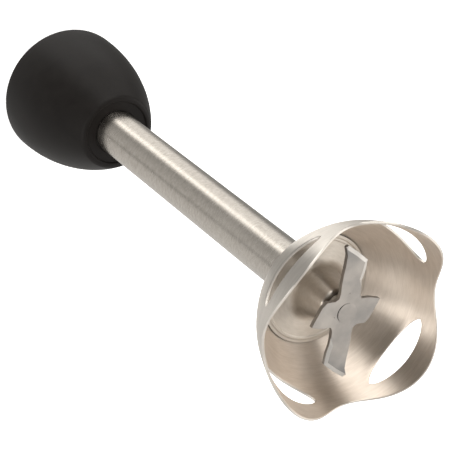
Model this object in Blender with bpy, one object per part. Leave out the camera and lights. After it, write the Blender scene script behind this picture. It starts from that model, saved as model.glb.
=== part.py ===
"""Detachable blending foot of an immersion (stick) blender, as an assembly of separate pieces.

Units are metres and +Z is up. The foot stands on the mouth of its coupling, with the bell and the blade at
the top. The origin is the centre of the mouth, and the shaft turns about Z. The four lobes of the bell point
along +X, +Y, -X and -Y. Two empties carry the pieces: "foot_frame" holds everything that stands still, and
"rotor_axis", on the shaft's centreline, holds everything that turns.
"""

import math

import bmesh
import bpy
from mathutils import Vector

MM = 0.001

# ---------------------------------------------------------------- driving dimensions
# Fits
GAP = 0.3 * MM                    # between pieces that rest on, or sit in, one another
RUNNING_CLEARANCE = 0.1 * MM      # radial, between the shaft and what it turns in

# Tube
TUBE_RADIUS = 8.6 * MM            # outside
TUBE_WALL = 0.8 * MM
TUBE_LENGTH = 154.1 * MM          # from the underside of its flange to its end inside the bell
TUBE_FLANGE_WIDTH = 2.8 * MM      # the rolled flange beyond the outside of the tube

# Shaft and rotor
SHAFT_RADIUS = 3.0 * MM
SHAFT_END_CHAMFER = 0.4 * MM
CLIP_GROOVE_DEPTH = 0.6 * MM
CLIP_THICKNESS = 0.8 * MM
CLIP_WIDTH = 2.2 * MM             # radial width of the retaining clip
CLIP_OPENING = math.radians(80)
THRUST_WASHER_THICKNESS = 0.8 * MM
THRUST_WASHER_WIDTH = 2.4 * MM
COLLAR_WALL = 1.4 * MM
PIN_RADIUS = 1.0 * MM
PIN_INSET = 1.2 * MM              # from the side of the drive coupling to the end of the pin

# Bushes and their carriers
BUSH_WALL = 1.9 * MM
UPPER_BUSH_LENGTH = 12.0 * MM
LOWER_BUSH_LENGTH = 16.0 * MM
CARRIER_FLANGE_THICKNESS = 3.5 * MM
CARRIER_END_WALL = 2.0 * MM
LOWER_CARRIER_LENGTH = 24.0 * MM  # the length inside the tube
LOWER_NOSE_WALL = 1.0 * MM
GUIDE_LENGTH = 8.0 * MM
GUIDE_FLUTES = 3
GUIDE_FLUTE_RADIUS = 1.6 * MM
O_RING_THICKNESS = 1.3 * MM

# Drive coupling
DRIVE_WALL = 2.3 * MM             # around the star-shaped recess
DRIVE_RECESS_REACH = 2.7 * MM     # tips of the star beyond the shaft's radius
DRIVE_RECESS_ROOT = 0.7 * MM      # roots of the star beyond the shaft's radius
DRIVE_RECESS_DEPTH = 8.0 * MM
DRIVE_HUB_LENGTH = 7.4 * MM
DRIVE_LOBES = 6

# Coupling housing and socket
SOCKET_DEPTH = 29.0 * MM          # from the mouth to the deck
DECK_THICKNESS = 3.0 * MM
LINER_WALL = 1.8 * MM
LINER_INSET = 0.8 * MM            # the liner's flange lies this far inside the mouth
LINER_FLANGE_THICKNESS = 1.8 * MM
LATCH_WINDOW_WIDTH = 9.0 * MM
LATCH_WINDOW_HEIGHT = 5.0 * MM
LATCH_WINDOW_HEIGHT_FROM_MOUTH = 8.0 * MM
HOUSING_WALL = 2.2 * MM
HOUSING_WEB = 10.4 * MM           # solid end of the housing, from the tube's flange to the front face
HOUSING_LIP_WIDTH = 6.3 * MM      # from the tube to the edge of the front face
HOUSING_LIP_ROUND = 1.6 * MM
HOUSING_FACE_RECESS = 0.4 * MM
FLANK_STEPS = 7
HOUSING_CURVE_POWER = 2.1         # the flank is straight at the mouth and curls in at the lip
SCREW_COUNT = 3
SCREW_RADIUS = 1.4 * MM
SCREW_HEAD_RADIUS = 2.4 * MM
SCREW_HEAD_HEIGHT = 1.7 * MM
SCREW_EDGE = 1.0 * MM             # free ring inside and outside of the screws
SCREW_BITE = 6.5 * MM             # depth of the screw in the web
SCREW_SLOT_WIDTH = 0.8 * MM

# Bell
BELL_RADIUS = 34.7 * MM           # outside, at the tips of the lobes
BELL_HEIGHT = 37.8 * MM           # from the neck to the tips of the lobes
BELL_SHEET = 0.9 * MM
BELL_OVERLAP = 8.2 * MM           # length of tube inside the bell
BELL_LOBES = 4
WAVE_DEPTH = 7.7 * MM             # from the tip of a lobe to the valley between two lobes
LOBE_WIDENING = 0.3 * MM
SLOT_HALF_WIDTH = 13.1 * MM
SLOT_HEIGHT = 7.5 * MM
SLOT_RIM_BAND = 7.7 * MM          # sheet left between a slot and the tip of its lobe
SLOT_BACK_RISE = 4.2 * MM
SLOT_FRONT_DROP = 2.7 * MM
SLOT_BACK_POWER = 2.3
SLOT_FRONT_POWER = 3
SLOT_STEPS = 8                    # from a slot's middle to its end
# The bell's outline from neck to rim, as shares of its flare (radius) and of its height.
BELL_OUTLINE = ((0, 0), (0.2, 0.077), (0.38, 0.18), (0.578, 0.339), (0.792, 0.566), (0.944, 0.839), (1, 1))

# Hub and floor inside the bell
HUB_HEIGHT = 12.6 * MM
HUB_TAPER = 3.4 * MM
HUB_EDGE_ROUND = 0.9 * MM
HUB_FOOT_ROUND = 1.6 * MM
FLOOR_RING_WIDTH = 1.1 * MM       # raised ring pressed into the edge of the floor
FLOOR_RING_HEIGHT = 0.5 * MM
SEAL_WIDTH = 1.7 * MM
SEAL_HEIGHT = 3.6 * MM

# Blade
BLADE_THICKNESS = 1.5 * MM
BLADE_TIP_CLEARANCE = 7.0 * MM    # from the tip of the long arm to the wall of the bell
BLADE_HEIGHT_OVER_HUB = 3.9 * MM
# One half of the blade's outline, as shares of the long arm's reach; the other half is turned by 180 degrees.
BLADE_OUTLINE = (
    (0.277, -0.027), (0.258, -0.088), (0.292, -0.152), (0.379, -0.254), (0.458, -0.367), (0.538, -0.488),
    (0.621, -0.596), (0.723, -0.663), (0.704, -0.706), (0.504, -0.725), (0.283, -0.725), (0.192, -0.596),
    (0.135, -0.475), (0.077, -0.392), (0.004, -0.306), (-0.054, -0.278), (-0.163, -0.360), (-0.321, -0.433),
    (-0.342, -0.363), (-0.367, -0.250), (-0.390, -0.146), (-0.378, -0.050),
)

# Facets around round pieces
BELL_FACETS, HOUSING_FACETS, MEDIUM, COARSE = 80, 60, 36, 24

# ---------------------------------------------------------------- stations and sizes that follow
TUBE_BORE = TUBE_RADIUS - TUBE_WALL
TUBE_FLANGE_RADIUS = TUBE_RADIUS + TUBE_FLANGE_WIDTH
SCREW_CIRCLE = TUBE_FLANGE_RADIUS + SCREW_EDGE + SCREW_HEAD_RADIUS
SOCKET_RADIUS = SCREW_CIRCLE + SCREW_HEAD_RADIUS + SCREW_EDGE / 2
LINER_RADIUS = SOCKET_RADIUS + LINER_WALL
RUNNING_BORE = SHAFT_RADIUS + RUNNING_CLEARANCE
BUSH_RADIUS = RUNNING_BORE + BUSH_WALL
BUSH_SEAT = BUSH_RADIUS + GAP

DECK_TOP = SOCKET_DEPTH + DECK_THICKNESS
CARRIER_FACE = DECK_TOP + GAP
FLANGE_SEAT = CARRIER_FACE + CARRIER_FLANGE_THICKNESS + GAP
WEB_FACE = FLANGE_SEAT + TUBE_WALL + GAP
HOUSING_HEIGHT = WEB_FACE + HOUSING_WEB
HOUSING_LIP_RADIUS = TUBE_RADIUS + HOUSING_LIP_WIDTH
TUBE_END = FLANGE_SEAT + TUBE_LENGTH

CLIP_RADIUS = SHAFT_RADIUS - CLIP_GROOVE_DEPTH + GAP
WASHER_BASE = CARRIER_FACE - GAP - THRUST_WASHER_THICKNESS
CLIP_BASE = WASHER_BASE - GAP - CLIP_THICKNESS
DRIVE_RADIUS = SHAFT_RADIUS + DRIVE_RECESS_REACH + DRIVE_WALL
DRIVE_TOP = min(CLIP_BASE, SOCKET_DEPTH) - GAP
DRIVE_BASE = DRIVE_TOP - DRIVE_HUB_LENGTH - DRIVE_RECESS_DEPTH
SHAFT_BASE = DRIVE_BASE + DRIVE_RECESS_DEPTH + GAP
PIN_HEIGHT = DRIVE_TOP - DRIVE_HUB_LENGTH / 2

FLOOR_BASE = TUBE_END + GAP
FLOOR_TOP = FLOOR_BASE + BELL_SHEET
NECK_RADIUS = TUBE_RADIUS + GAP
NECK_HEIGHT = TUBE_END - BELL_OVERLAP
CREST_HEIGHT = NECK_HEIGHT + BELL_HEIGHT
SEAL_RADIUS = RUNNING_BORE + SEAL_WIDTH
HUB_END_RADIUS = SEAL_RADIUS + GAP + BELL_SHEET
HUB_BASE_RADIUS = HUB_END_RADIUS + HUB_TAPER
HUB_TOP = FLOOR_TOP + HUB_HEIGHT
SEAL_BASE = HUB_TOP - BELL_SHEET - GAP - SEAL_HEIGHT
LOWER_NOSE_RADIUS = BUSH_SEAT + LOWER_NOSE_WALL
LOWER_NOSE_TOP = SEAL_BASE - GAP
LOWER_CARRIER_BASE = TUBE_END - LOWER_CARRIER_LENGTH
BLADE_BASE = HUB_TOP + BLADE_HEIGHT_OVER_HUB
BLADE_TOP = BLADE_BASE + BLADE_THICKNESS
COLLAR_BASE = HUB_TOP + 2 * GAP

# ---------------------------------------------------------------- materials
# colour, metallic, roughness
FINISHES = {
    "soft_black_plastic": ((0.035, 0.033, 0.031), 0.0, 0.55),
    "liner_plastic": ((0.06, 0.06, 0.062), 0.0, 0.5),
    "brushed_steel": ((0.62, 0.57, 0.51), 1.0, 0.32),
    "blade_steel": ((0.47, 0.46, 0.44), 1.0, 0.5),
    "shaft_steel": ((0.60, 0.59, 0.57), 1.0, 0.25),
    "bearing_bronze": ((0.55, 0.36, 0.18), 1.0, 0.4),
    "natural_nylon": ((0.72, 0.70, 0.64), 0.0, 0.45),
    "black_rubber": ((0.02, 0.02, 0.02), 0.0, 0.7),
}


def finish(name):
    """The Principled material of that name, made once."""
    if name in bpy.data.materials:
        return bpy.data.materials[name]
    colour, metallic, roughness = FINISHES[name]
    material = bpy.data.materials.new(name)
    material.use_nodes = True
    shader = material.node_tree.nodes["Principled BSDF"]
    shader.inputs["Base Color"].default_value = (*colour, 1)
    shader.inputs["Metallic"].default_value = metallic
    shader.inputs["Roughness"].default_value = roughness
    return material


# ---------------------------------------------------------------- modelling helpers
def clear_scene():
    """Removes every object, so that the model is all there is."""
    for item in list(bpy.data.objects):
        bpy.data.objects.remove(item, do_unlink=True)


def carrier_empty(name):
    """An empty on the foot's axis, for the pieces of one body."""
    item = bpy.data.objects.new(name, None)
    bpy.context.scene.collection.objects.link(item)
    return item


def to_object(name, bm, finish_name, parent, height=0.0, smooth_angle=35):
    """Turns a bmesh into a named object at that height on the axis."""
    bmesh.ops.remove_doubles(bm, verts=bm.verts, dist=1e-7)
    bmesh.ops.recalc_face_normals(bm, faces=bm.faces)
    mesh = bpy.data.meshes.new(name)
    bm.to_mesh(mesh)
    bm.free()
    mesh.shade_smooth()
    mesh.set_sharp_from_angle(angle=math.radians(smooth_angle))
    mesh.materials.append(finish(finish_name))
    item = bpy.data.objects.new(name, mesh)
    item.location.z = height
    item.parent = parent
    bpy.context.scene.collection.objects.link(item)
    return item


def spun(outline, segments, closed=True, angle=2 * math.pi):
    """A bmesh turned about Z from an outline of (radius, height) points. A part turn gets flat ends."""
    bm = bmesh.new()
    verts = [bm.verts.new((radius, 0, height)) for radius, height in outline]
    pairs = list(zip(verts, verts[1:])) + ([(verts[-1], verts[0])] if closed else [])
    edges = [bm.edges.new(pair) for pair in pairs]
    whole = angle > 2 * math.pi - 1e-6
    result = bmesh.ops.spin(bm, geom=verts + edges, cent=(0, 0, 0), axis=(0, 0, 1), angle=angle,
                            steps=segments, use_merge=whole)
    if not whole:
        bm.faces.new(verts)
        last_edges = [part for part in result["geom_last"] if isinstance(part, bmesh.types.BMEdge)]
        bmesh.ops.edgenet_fill(bm, edges=last_edges)
    return bm


def turned(name, outline, finish_name, parent, height=0.0, segments=MEDIUM, closed=True):
    """A piece made on a lathe. Its outline's heights count from the height where it is placed."""
    return to_object(name, spun(outline, segments, closed), finish_name, parent, height)


def ring_outline(inner, outer, length, chamfer=0.0):
    """The outline of a plain ring or bush, with its outer edges chamfered."""
    if chamfer == 0:
        return [(inner, 0), (outer, 0), (outer, length), (inner, length)]
    return [(inner, 0), (outer - chamfer, 0), (outer, chamfer),
            (outer, length - chamfer), (outer - chamfer, length),
            (inner, length)]


def arc(centre, radius, start, end, steps):
    """Points on an arc, from start to end in degrees, both included."""
    turns = [math.radians(start + (end - start) * step / steps) for step in range(steps + 1)]
    return [(centre[0] + radius * math.cos(turn), centre[1] + radius * math.sin(turn)) for turn in turns]


def o_ring_outline(inner):
    """The round outline of an O-ring that leaves its gap in a groove of O_RING_THICKNESS."""
    radius = (O_RING_THICKNESS - GAP) / 2
    sides = 8
    return arc((inner + radius, radius), radius, 0, 360 - 360 / sides, sides - 1)


def prism(outline, plane, start, end):
    """A bmesh with a flat outline, extruded along the third axis: plane is "xy" (along Z) or "yz"."""
    bm = bmesh.new()
    along = Vector((0, 0, 1)) if plane == "xy" else Vector((1, 0, 0))
    points = [Vector((u, v, 0)) if plane == "xy" else Vector((0, u, v)) for u, v in outline]
    face = bm.faces.new([bm.verts.new(point + along * start) for point in points])
    grown = bmesh.ops.extrude_face_region(bm, geom=[face])
    moved = [part for part in grown["geom"] if isinstance(part, bmesh.types.BMVert)]
    bmesh.ops.translate(bm, verts=moved, vec=along * (end - start))
    return bm


def rod_mesh(radius, length, segments, place=(0, 0), along="z"):
    """A bmesh cylinder: along z from 0 to length at (x, y) = place, or along x and centred on the axis."""
    bm = bmesh.new()
    bmesh.ops.create_cone(bm, cap_ends=True, segments=segments, radius1=radius, radius2=radius, depth=length)
    if along == "z":
        bmesh.ops.translate(bm, verts=bm.verts, vec=(place[0], place[1], length / 2))
    else:
        turn = Vector((0, 0, 1)).rotation_difference(Vector((1, 0, 0))).to_matrix()
        bmesh.ops.rotate(bm, verts=bm.verts, cent=(0, 0, 0), matrix=turn)
    return bm


def cut(target, bm, height=0.0, turn=0.0):
    """Cuts a bmesh away from the target, as a live Boolean with a hidden cutter."""
    count = len(target.modifiers) + 1
    cutter = to_object(f"{target.name}_cutter_{count}", bm, "liner_plastic", None, height)
    cutter.rotation_euler.z = turn
    cutter.hide_render = True
    cutter.display_type = "WIRE"
    boolean = target.modifiers.new(f"cut_{count}", "BOOLEAN")
    boolean.operation = "DIFFERENCE"
    boolean.solver = "EXACT"
    boolean.object = cutter


def around(count, offset=0.0):
    """Evenly spaced angles about the axis."""
    return [offset + 2 * math.pi * index / count for index in range(count)]


# ---------------------------------------------------------------- shapes that several pieces share
def mouth_radius():
    """Outside radius of the housing at its mouth: the flank clears the liner's deck on its way up."""
    share = (DECK_TOP / HOUSING_HEIGHT) ** HOUSING_CURVE_POWER
    radius_at_deck = LINER_RADIUS + GAP + HOUSING_WALL
    return (radius_at_deck - share * HOUSING_LIP_RADIUS) / (1 - share)


def housing_radius(height):
    """Outside radius of the housing at a height above the mouth."""
    mouth = mouth_radius()
    return mouth - (mouth - HOUSING_LIP_RADIUS) * (height / HOUSING_HEIGHT) ** HOUSING_CURVE_POWER


def bell_knots():
    """The points (radius, height) that the outside of the bell passes through."""
    flare = BELL_RADIUS - NECK_RADIUS
    return [Vector((NECK_RADIUS + flare * share, NECK_HEIGHT + BELL_HEIGHT * rise))
            for share, rise in BELL_OUTLINE]


def bell_curve(place):
    """Point and direction on the outside of the bell; place runs from 0 at the neck to 1 at a lobe's tip."""
    knots = bell_knots()
    stretch = min(int(place * (len(knots) - 1)), len(knots) - 2)
    before = knots[stretch - 1] if stretch > 0 else 2 * knots[0] - knots[1]
    start, end = knots[stretch], knots[stretch + 1]
    after = knots[stretch + 2] if stretch + 2 < len(knots) else 2 * knots[-1] - knots[-2]
    step = place * (len(knots) - 1) - stretch
    pull_start, pull_end = (end - before) / 2, (after - start) / 2
    point = ((2 * step ** 3 - 3 * step ** 2 + 1) * start + (step ** 3 - 2 * step ** 2 + step) * pull_start
             + (3 * step ** 2 - 2 * step ** 3) * end + (step ** 3 - step ** 2) * pull_end)
    direction = ((6 * step ** 2 - 6 * step) * (start - end) + (3 * step ** 2 - 4 * step + 1) * pull_start
                 + (3 * step ** 2 - 2 * step) * pull_end)
    return point, direction.normalized()


def bell_inside(place):
    """The point on the inside of the bell's sheet, opposite the outside point at that place."""
    point, direction = bell_curve(place)
    return point + Vector((-direction.y, direction.x)) * BELL_SHEET


def bell_place(height, side=bell_curve):
    """The place along the bell where one side of its sheet reaches a height, found by halving."""
    low, high = 0.0, 1.0
    for _ in range(40):
        middle = (low + high) / 2
        point = side(middle)
        reached = point[0].y if side is bell_curve else point.y
        low, high = (middle, high) if reached < height else (low, middle)
    return (low + high) / 2


def bell_bore(height):
    """Inside radius of the bell at a height."""
    return bell_inside(bell_place(height, bell_inside)).x


def rim_height(turn):
    """Height of the bell's wavy rim at an angle about the axis."""
    wave = WAVE_DEPTH / 2 * (1 - math.cos(BELL_LOBES * turn))
    return CREST_HEIGHT - wave + LOBE_WIDENING * (1 - math.cos(2 * BELL_LOBES * turn))


# ---------------------------------------------------------------- the coupling
def coupling_housing(parent):
    """Matte outer shell: wide mouth, curved flank, rounded lip and a solid web that holds the tube."""
    flank_top = HOUSING_HEIGHT - HOUSING_LIP_ROUND
    shares = [step / FLANK_STEPS for step in range(FLANK_STEPS + 1)]
    flank = [(housing_radius(flank_top * share), flank_top * share) for share in shares]
    lip_centre = (flank[-1][0] - HOUSING_LIP_ROUND, flank_top)
    lip = arc(lip_centre, HOUSING_LIP_ROUND, 0, 90, 3)[1:]
    face_edge = lip_centre[0] - HOUSING_LIP_ROUND / 2
    face = HOUSING_HEIGHT - HOUSING_FACE_RECESS
    bore = TUBE_RADIUS + GAP
    groove = (bore + O_RING_THICKNESS, WEB_FACE + HOUSING_WEB / 2)
    front = [(face_edge, HOUSING_HEIGHT), (face_edge - HOUSING_FACE_RECESS, face), (bore, face)]
    seat = [(bore, groove[1] + O_RING_THICKNESS), (groove[0], groove[1] + O_RING_THICKNESS),
            (groove[0], groove[1] - GAP), (bore, groove[1] - GAP), (bore, WEB_FACE)]
    inside = [(housing_radius(WEB_FACE * (1 - share)) - HOUSING_WALL, WEB_FACE * (1 - share))
              for share in shares]
    housing = turned("coupling_housing", flank + lip + front + seat + inside, "soft_black_plastic", parent,
                     segments=HOUSING_FACETS)
    for turn in around(SCREW_COUNT):
        place = (SCREW_CIRCLE * math.cos(turn), SCREW_CIRCLE * math.sin(turn))
        pilot = rod_mesh(SCREW_RADIUS + GAP, SCREW_BITE + 2 * GAP, COARSE, place)
        cut(housing, pilot, WEB_FACE - GAP)


def tube_seal_ring(parent):
    """Rubber ring in the housing's groove, around the tube."""
    height = WEB_FACE + HOUSING_WEB / 2
    turned("tube_seal_ring", o_ring_outline(TUBE_RADIUS + GAP), "black_rubber", parent, height, COARSE)


def socket_liner(parent):
    """Socket for the motor unit's nose: mouth flange, straight wall with two latch windows, and the deck."""
    flange = mouth_radius() - HOUSING_WALL - 2 * GAP
    base = LINER_INSET
    deck_bore = max(BUSH_SEAT, SHAFT_RADIUS + THRUST_WASHER_WIDTH + 2 * GAP) + LOWER_NOSE_WALL
    outline = [
        (SOCKET_RADIUS, base), (flange, base), (flange, base + LINER_FLANGE_THICKNESS),
        (LINER_RADIUS, base + LINER_FLANGE_THICKNESS), (LINER_RADIUS, DECK_TOP), (deck_bore, DECK_TOP),
        (deck_bore, SOCKET_DEPTH), (SOCKET_RADIUS, SOCKET_DEPTH),
    ]
    liner = turned("socket_liner", outline, "liner_plastic", parent)
    half = LATCH_WINDOW_WIDTH / 2
    low, high = LATCH_WINDOW_HEIGHT_FROM_MOUTH, LATCH_WINDOW_HEIGHT_FROM_MOUTH + LATCH_WINDOW_HEIGHT
    window = ((-half, low), (half, low), (half, high), (-half, high))
    for turn in around(2, math.pi / 2):
        cut(liner, prism(window, "yz", SOCKET_RADIUS - GAP, LINER_RADIUS + GAP), turn=turn)
    for turn in around(SCREW_COUNT):
        place = (SCREW_CIRCLE * math.cos(turn), SCREW_CIRCLE * math.sin(turn))
        cut(liner, rod_mesh(SCREW_RADIUS + GAP, DECK_THICKNESS + 2 * GAP, COARSE, place), SOCKET_DEPTH - GAP)


def housing_screws(parent):
    """Slotted screws that clamp the liner, the carrier and the tube's flange against the housing's web."""
    head_base = SOCKET_DEPTH - GAP - SCREW_HEAD_HEIGHT
    shank_top = WEB_FACE + SCREW_BITE - GAP
    length = shank_top - head_base
    tip = SCREW_RADIUS
    outline = [
        (0, 0), (SCREW_HEAD_RADIUS - GAP, 0), (SCREW_HEAD_RADIUS, GAP),
        (SCREW_HEAD_RADIUS, SCREW_HEAD_HEIGHT),
        (SCREW_RADIUS, SCREW_HEAD_HEIGHT), (SCREW_RADIUS, length - tip), (SCREW_RADIUS / 2, length),
        (0, length),
    ]
    half, reach = SCREW_SLOT_WIDTH / 2, SCREW_HEAD_RADIUS + GAP
    slot = ((-reach, -half), (reach, -half), (reach, half), (-reach, half))
    for index, turn in enumerate(around(SCREW_COUNT)):
        name = f"housing_screw_{index + 1}"
        screw = turned(name, outline, "shaft_steel", parent, head_base, COARSE, closed=False)
        screw.location.x = SCREW_CIRCLE * math.cos(turn)
        screw.location.y = SCREW_CIRCLE * math.sin(turn)
        cutter = prism(slot, "xy", -GAP, SCREW_HEAD_HEIGHT / 2)
        bmesh.ops.translate(cutter, verts=cutter.verts, vec=(screw.location.x, screw.location.y, 0))
        cut(screw, cutter, head_base)


# ---------------------------------------------------------------- the tube and what it holds
def tube(parent):
    """Stainless tube with a rolled flange at the coupling end."""
    outline = [
        (TUBE_BORE, 0), (TUBE_FLANGE_RADIUS, 0), (TUBE_FLANGE_RADIUS, TUBE_WALL), (TUBE_RADIUS, TUBE_WALL),
        (TUBE_RADIUS, TUBE_LENGTH), (TUBE_BORE, TUBE_LENGTH),
    ]
    turned("tube", outline, "brushed_steel", parent, FLANGE_SEAT)


def upper_bearing_carrier(parent):
    """Flanged sleeve under the tube's flange. Its nose centres the tube, and its bore holds the bush."""
    nose = TUBE_BORE - GAP
    flange = SCREW_CIRCLE + SCREW_HEAD_RADIUS - GAP
    bush_end = UPPER_BUSH_LENGTH + GAP
    top = bush_end + CARRIER_END_WALL
    outline = [
        (BUSH_SEAT, 0), (flange, 0), (flange, CARRIER_FLANGE_THICKNESS), (nose, CARRIER_FLANGE_THICKNESS),
        (nose, top), (SHAFT_RADIUS + 2 * GAP, top), (SHAFT_RADIUS + 2 * GAP, bush_end), (BUSH_SEAT, bush_end),
    ]
    carrier = turned("upper_bearing_carrier", outline, "liner_plastic", parent, CARRIER_FACE)
    for turn in around(SCREW_COUNT):
        place = (SCREW_CIRCLE * math.cos(turn), SCREW_CIRCLE * math.sin(turn))
        cut(carrier, rod_mesh(SCREW_RADIUS + GAP, CARRIER_FLANGE_THICKNESS + 2 * GAP, COARSE, place),
            CARRIER_FACE - GAP)


def bushes(parent):
    """Sintered bushes that the shaft turns in: one near the coupling, one near the blade."""
    outline = ring_outline(RUNNING_BORE, BUSH_RADIUS, UPPER_BUSH_LENGTH, GAP)
    turned("upper_bush", outline, "bearing_bronze", parent, CARRIER_FACE, COARSE)
    outline = ring_outline(RUNNING_BORE, BUSH_RADIUS, LOWER_BUSH_LENGTH, GAP)
    turned("lower_bush", outline, "bearing_bronze", parent, LOWER_NOSE_TOP - LOWER_BUSH_LENGTH, COARSE)


def shaft_guide(parent):
    """Fluted plastic ring half way up the tube, which stops the long shaft from whipping."""
    outer = TUBE_BORE - GAP
    ring = ring_outline(SHAFT_RADIUS + GAP, outer, GUIDE_LENGTH)
    guide = turned("shaft_guide", ring, "natural_nylon", parent, FLANGE_SEAT + TUBE_LENGTH / 2)
    for turn in around(GUIDE_FLUTES):
        place = (outer * math.cos(turn), outer * math.sin(turn))
        cut(guide, rod_mesh(GUIDE_FLUTE_RADIUS, GUIDE_LENGTH + 2 * GAP, COARSE, place),
            FLANGE_SEAT + TUBE_LENGTH / 2 - GAP)


def lower_bearing_carrier(parent):
    """Sleeve in the tube's end. Its nose holds the lower bush in the hub, and a groove holds an O-ring."""
    body = TUBE_BORE - GAP
    step = LOWER_CARRIER_LENGTH - GAP
    top = LOWER_NOSE_TOP - LOWER_CARRIER_BASE
    bush_end = top - LOWER_BUSH_LENGTH - GAP
    groove_low = LOWER_CARRIER_LENGTH / 4
    groove_high = groove_low + O_RING_THICKNESS + GAP
    groove = body - O_RING_THICKNESS
    outline = [
        (SHAFT_RADIUS + 2 * GAP, 0), (body, 0), (body, groove_low), (groove, groove_low),
        (groove, groove_high), (body, groove_high), (body, step), (LOWER_NOSE_RADIUS, step),
        (LOWER_NOSE_RADIUS, top), (BUSH_SEAT, top), (BUSH_SEAT, bush_end), (SHAFT_RADIUS + 2 * GAP, bush_end),
    ]
    turned("lower_bearing_carrier", outline, "liner_plastic", parent, LOWER_CARRIER_BASE)
    ring = o_ring_outline(groove + GAP)
    turned("carrier_o_ring", ring, "black_rubber", parent, LOWER_CARRIER_BASE + groove_low + GAP, COARSE)


# ---------------------------------------------------------------- the bell
def bell(parent):
    """Deep-drawn steel bell with a wavy rim and a lens-shaped slot under each of its lobes."""
    steps = 8
    sections = []
    for turn in around(BELL_FACETS):
        rim = bell_place(rim_height(turn))
        places = [rim * step / steps for step in range(steps + 1)]
        outside = [bell_curve(place)[0] for place in places]
        inside = [bell_inside(place) for place in reversed(places)]
        inside[-1] = Vector((NECK_RADIUS, inside[-1].y))
        sections.append([Vector((point.x * math.cos(turn), point.x * math.sin(turn), point.y))
                         for point in outside + inside])
    bm = bmesh.new()
    rows = [[bm.verts.new(point) for point in section] for section in sections]
    for row, after in zip(rows, rows[1:] + rows[:1]):
        for index in range(len(row)):
            bm.faces.new((row[index - 1], row[index], after[index], after[index - 1]))
    shell = to_object("bell", bm, "brushed_steel", parent)
    front = CREST_HEIGHT - SLOT_RIM_BAND
    back = front - SLOT_HEIGHT
    shares = [step / SLOT_STEPS - 1 for step in range(2 * SLOT_STEPS + 1)]
    back_edge = [(SLOT_HALF_WIDTH * share, back + SLOT_BACK_RISE * abs(share) ** SLOT_BACK_POWER)
                 for share in shares]
    front_edge = [(SLOT_HALF_WIDTH * share, front - SLOT_FRONT_DROP * abs(share) ** SLOT_FRONT_POWER)
                  for share in reversed(shares)]
    for turn in around(BELL_LOBES):
        cut(shell, prism(back_edge + front_edge, "yz", BELL_RADIUS / 2, BELL_RADIUS + GAP), turn=turn)


def bell_floor(parent):
    """Pressed sheet that closes the dome: a flat floor with a raised edge ring, and the conical hub."""
    edge = bell_bore(FLOOR_BASE) - GAP
    ring_in = edge - FLOOR_RING_WIDTH
    sheet = BELL_SHEET
    end_hole = RUNNING_BORE + SEAL_WIDTH / 2
    slope = math.degrees(math.atan2(HUB_TAPER, HUB_HEIGHT))
    top_centre = (HUB_END_RADIUS - HUB_EDGE_ROUND, HUB_HEIGHT - HUB_EDGE_ROUND)
    top_arc = arc(top_centre, HUB_EDGE_ROUND, slope, 90, 3)
    foot_centre = (HUB_BASE_RADIUS + HUB_FOOT_ROUND, HUB_FOOT_ROUND)
    foot_arc = arc(foot_centre, HUB_FOOT_ROUND, 180 + slope, 270, 4)
    outside = [(end_hole, HUB_HEIGHT)] + top_arc[::-1] + foot_arc
    outside += [(ring_in - FLOOR_RING_HEIGHT, 0), (ring_in, FLOOR_RING_HEIGHT)]
    outside += [(edge - GAP, FLOOR_RING_HEIGHT), (edge, 0)]
    underside = [
        (edge, -sheet), (HUB_BASE_RADIUS, -sheet), (HUB_BASE_RADIUS - sheet, 0),
        (HUB_END_RADIUS - sheet, HUB_HEIGHT - sheet), (end_hole, HUB_HEIGHT - sheet),
    ]
    turned("bell_floor", outside + underside, "brushed_steel", parent, FLOOR_TOP, segments=MEDIUM)


def shaft_seal(parent):
    """Rubber seal in the end of the hub, around the shaft."""
    lip = SEAL_HEIGHT / 3
    middle = RUNNING_BORE + SEAL_WIDTH / 2
    outline = [(RUNNING_BORE, 0), (SEAL_RADIUS, 0), (SEAL_RADIUS, SEAL_HEIGHT), (middle, SEAL_HEIGHT),
               (middle, lip), (RUNNING_BORE, lip)]
    turned("shaft_seal", outline, "black_rubber", parent, SEAL_BASE, COARSE)


# ---------------------------------------------------------------- the rotor
def drive_shaft(parent):
    """Ground shaft from the drive coupling to the blade, with a clip groove and a hole for the pin."""
    length = BLADE_TOP - SHAFT_BASE
    groove = SHAFT_RADIUS - CLIP_GROOVE_DEPTH
    groove_low = CLIP_BASE - GAP / 2 - SHAFT_BASE
    groove_high = groove_low + CLIP_THICKNESS + GAP
    outline = [
        (0, 0), (SHAFT_RADIUS - SHAFT_END_CHAMFER, 0), (SHAFT_RADIUS, SHAFT_END_CHAMFER),
        (SHAFT_RADIUS, groove_low), (groove, groove_low), (groove, groove_high), (SHAFT_RADIUS, groove_high),
        (SHAFT_RADIUS, length), (0, length),
    ]
    shaft = turned("drive_shaft", outline, "shaft_steel", parent, SHAFT_BASE, COARSE, closed=False)
    cut(shaft, rod_mesh(PIN_RADIUS + GAP / 2, 2 * DRIVE_RADIUS, COARSE, along="x"), PIN_HEIGHT)


def drive_coupling(parent):
    """Moulded dog with a star-shaped recess for the motor unit's spindle, pinned to the shaft."""
    length = DRIVE_TOP - DRIVE_BASE
    ring = ring_outline(SHAFT_RADIUS + GAP, DRIVE_RADIUS, length, GAP)
    dog = turned("drive_coupling", ring, "natural_nylon", parent, DRIVE_BASE)
    tip, root = SHAFT_RADIUS + DRIVE_RECESS_REACH, SHAFT_RADIUS + DRIVE_RECESS_ROOT
    reaches = [tip if index % 4 < 2 else root for index in range(4 * DRIVE_LOBES)]
    star = [(reach * math.cos(turn), reach * math.sin(turn))
            for reach, turn in zip(reaches, around(len(reaches)))]
    cut(dog, prism(star, "xy", -GAP, DRIVE_RECESS_DEPTH), DRIVE_BASE)
    cut(dog, rod_mesh(PIN_RADIUS + GAP, 3 * DRIVE_RADIUS, COARSE, along="x"), PIN_HEIGHT)


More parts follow.
